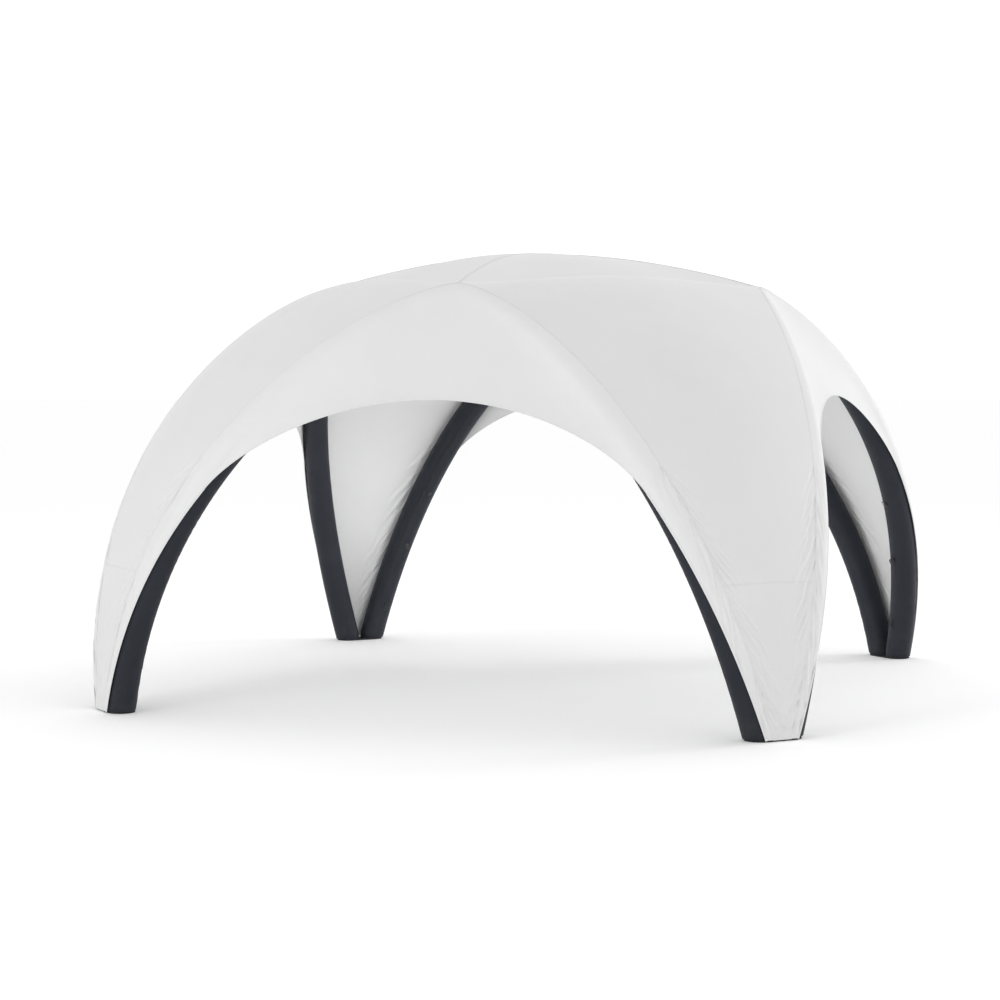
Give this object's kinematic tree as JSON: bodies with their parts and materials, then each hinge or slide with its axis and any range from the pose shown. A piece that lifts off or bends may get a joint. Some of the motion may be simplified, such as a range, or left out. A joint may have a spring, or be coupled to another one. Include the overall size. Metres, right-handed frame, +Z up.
{
  "type": "inflatable dome event tent",
  "caption": "Open inflatable dome tent: a pointed canopy over arched air tubes that meet in pairs at the feet, with a doorway on every side.",
  "frame": {"origin": "on the ground under the roof's apex, in the middle of the four feet", "axes": "+Z up, the front doorway faces -Y, the right doorway faces +X"},
  "size_m": [5.586, 5.586, 3.475],
  "materials": {
    "canopy_cloth": "matte",
    "sleeve_fabric": "satin",
    "bladder_film": "gloss",
    "pad_rubber": "matte",
    "valve_plastic": "satin",
    "plunger_plastic": "satin",
    "webbing": "matte",
    "ring_steel": "satin",
    "zip_metal": "satin"
  },
  "bodies": {
    "tent": {"Arch_Sleeve_Front": "sleeve_fabric", "Arch_Bladder_Front": "bladder_film", "Door_Panel_Front": "canopy_cloth", "Valve_Body_Front": "valve_plastic", "Relief_Valve_Front": "valve_plastic", "Anchor_Tab_Front": "webbing", "Zip_Slider_Front": "zip_metal", "Arch_Sleeve_Right": "sleeve_fabric", "Arch_Bladder_Right": "bladder_film", "Door_Panel_Right": "canopy_cloth", "Valve_Body_Right": "valve_plastic", "Relief_Valve_Right": "valve_plastic", "Anchor_Tab_Right": "webbing", "Zip_Slider_Right": "zip_metal", "Arch_Sleeve_Back": "sleeve_fabric", "Arch_Bladder_Back": "bladder_film", "Door_Panel_Back": "canopy_cloth", "Valve_Body_Back": "valve_plastic", "Relief_Valve_Back": "valve_plastic", "Anchor_Tab_Back": "webbing", "Zip_Slider_Back": "zip_metal", "Arch_Sleeve_Left": "sleeve_fabric", "Arch_Bladder_Left": "bladder_film", "Door_Panel_Left": "canopy_cloth", "Valve_Body_Left": "valve_plastic", "Relief_Valve_Left": "valve_plastic", "Anchor_Tab_Left": "webbing", "Zip_Slider_Left": "zip_metal", "Leg_Panel_FrontRight": "canopy_cloth", "Foot_Pad_FrontRight": "pad_rubber", "Leg_Panel_BackRight": "canopy_cloth", "Foot_Pad_BackRight": "pad_rubber", "Leg_Panel_BackLeft": "canopy_cloth", "Foot_Pad_BackLeft": "pad_rubber", "Leg_Panel_FrontLeft": "canopy_cloth", "Foot_Pad_FrontLeft": "pad_rubber", "Apex_Patch": "canopy_cloth"},
    "valve_cap_front": {"Valve_Cap_Front": "valve_plastic"},
    "valve_plunger_front": {"Valve_Plunger_Front": "plunger_plastic"},
    "anchor_ring_front": {"Anchor_Ring_Front": "ring_steel"},
    "zip_pull_front": {"Zip_Pull_Front": "zip_metal"},
    "valve_cap_right": {"Valve_Cap_Right": "valve_plastic"},
    "valve_plunger_right": {"Valve_Plunger_Right": "plunger_plastic"},
    "anchor_ring_right": {"Anchor_Ring_Right": "ring_steel"},
    "zip_pull_right": {"Zip_Pull_Right": "zip_metal"},
    "valve_cap_back": {"Valve_Cap_Back": "valve_plastic"},
    "valve_plunger_back": {"Valve_Plunger_Back": "plunger_plastic"},
    "anchor_ring_back": {"Anchor_Ring_Back": "ring_steel"},
    "zip_pull_back": {"Zip_Pull_Back": "zip_metal"},
    "valve_cap_left": {"Valve_Cap_Left": "valve_plastic"},
    "valve_plunger_left": {"Valve_Plunger_Left": "plunger_plastic"},
    "anchor_ring_left": {"Anchor_Ring_Left": "ring_steel"},
    "zip_pull_left": {"Zip_Pull_Left": "zip_metal"}
  },
  "joints": [
    {"name": "cap_hinge_front", "type": "hinge", "parent": "tent", "child": "valve_cap_front", "pos_m": [2.05628, -2.57819, 0.85551], "axis": [-0.6394, -0.7172, -0.2771], "range_deg": [0, 150]},
    {"name": "plunger_slide_front", "type": "slide", "parent": "tent", "child": "valve_plunger_front", "axis": [0.6645, -0.6967, 0.2702], "range_m": [0, 0.004], "stiffness_N_per_m": 300, "springref_m": -0.001},
    {"name": "ring_hinge_front", "type": "hinge", "parent": "tent", "child": "anchor_ring_front", "pos_m": [2.25361, -2.54149, 0.30559], "axis": [0.6741, 0.6829, 0.2813], "range_deg": [-5, 120]},
    {"name": "zip_pull_hinge_front", "type": "hinge", "parent": "tent", "child": "zip_pull_front", "pos_m": [1.85699, -2.53102, 1.39315], "axis": [0.8365, 0.3251, 0.4412], "range_deg": [0, 150]},
    {"name": "cap_hinge_right", "type": "hinge", "parent": "tent", "child": "valve_cap_right", "pos_m": [2.57819, 2.05628, 0.85551], "axis": [0.7172, -0.6394, -0.2771], "range_deg": [0, 150]},
    {"name": "plunger_slide_right", "type": "slide", "parent": "tent", "child": "valve_plunger_right", "axis": [0.6967, 0.6645, 0.2702], "range_m": [0, 0.004], "stiffness_N_per_m": 300, "springref_m": -0.001},
    {"name": "ring_hinge_right", "type": "hinge", "parent": "tent", "child": "anchor_ring_right", "pos_m": [2.54149, 2.25361, 0.30559], "axis": [-0.6829, 0.6741, 0.2813], "range_deg": [-5, 120]},
    {"name": "zip_pull_hinge_right", "type": "hinge", "parent": "tent", "child": "zip_pull_right", "pos_m": [2.53102, 1.85699, 1.39315], "axis": [-0.3251, 0.8365, 0.4412], "range_deg": [0, 150]},
    {"name": "cap_hinge_back", "type": "hinge", "parent": "tent", "child": "valve_cap_back", "pos_m": [-2.05628, 2.57819, 0.85551], "axis": [0.6394, 0.7172, -0.2771], "range_deg": [0, 150]},
    {"name": "plunger_slide_back", "type": "slide", "parent": "tent", "child": "valve_plunger_back", "axis": [-0.6645, 0.6967, 0.2702], "range_m": [0, 0.004], "stiffness_N_per_m": 300, "springref_m": -0.001},
    {"name": "ring_hinge_back", "type": "hinge", "parent": "tent", "child": "anchor_ring_back", "pos_m": [-2.25361, 2.54149, 0.30559], "axis": [-0.6741, -0.6829, 0.2813], "range_deg": [-5, 120]},
    {"name": "zip_pull_hinge_back", "type": "hinge", "parent": "tent", "child": "zip_pull_back", "pos_m": [-1.85699, 2.53102, 1.39315], "axis": [-0.8365, -0.3251, 0.4412], "range_deg": [0, 150]},
    {"name": "cap_hinge_left", "type": "hinge", "parent": "tent", "child": "valve_cap_left", "pos_m": [-2.57819, -2.05628, 0.85551], "axis": [-0.7172, 0.6394, -0.2771], "range_deg": [0, 150]},
    {"name": "plunger_slide_left", "type": "slide", "parent": "tent", "child": "valve_plunger_left", "axis": [-0.6967, -0.6645, 0.2702], "range_m": [0, 0.004], "stiffness_N_per_m": 300, "springref_m": -0.001},
    {"name": "ring_hinge_left", "type": "hinge", "parent": "tent", "child": "anchor_ring_left", "pos_m": [-2.54149, -2.25361, 0.30559], "axis": [0.6829, -0.6741, 0.2813], "range_deg": [-5, 120]},
    {"name": "zip_pull_hinge_left", "type": "hinge", "parent": "tent", "child": "zip_pull_left", "pos_m": [-2.53102, -1.85699, 1.39315], "axis": [0.3251, -0.8365, 0.4412], "range_deg": [0, 150]}
  ]
}
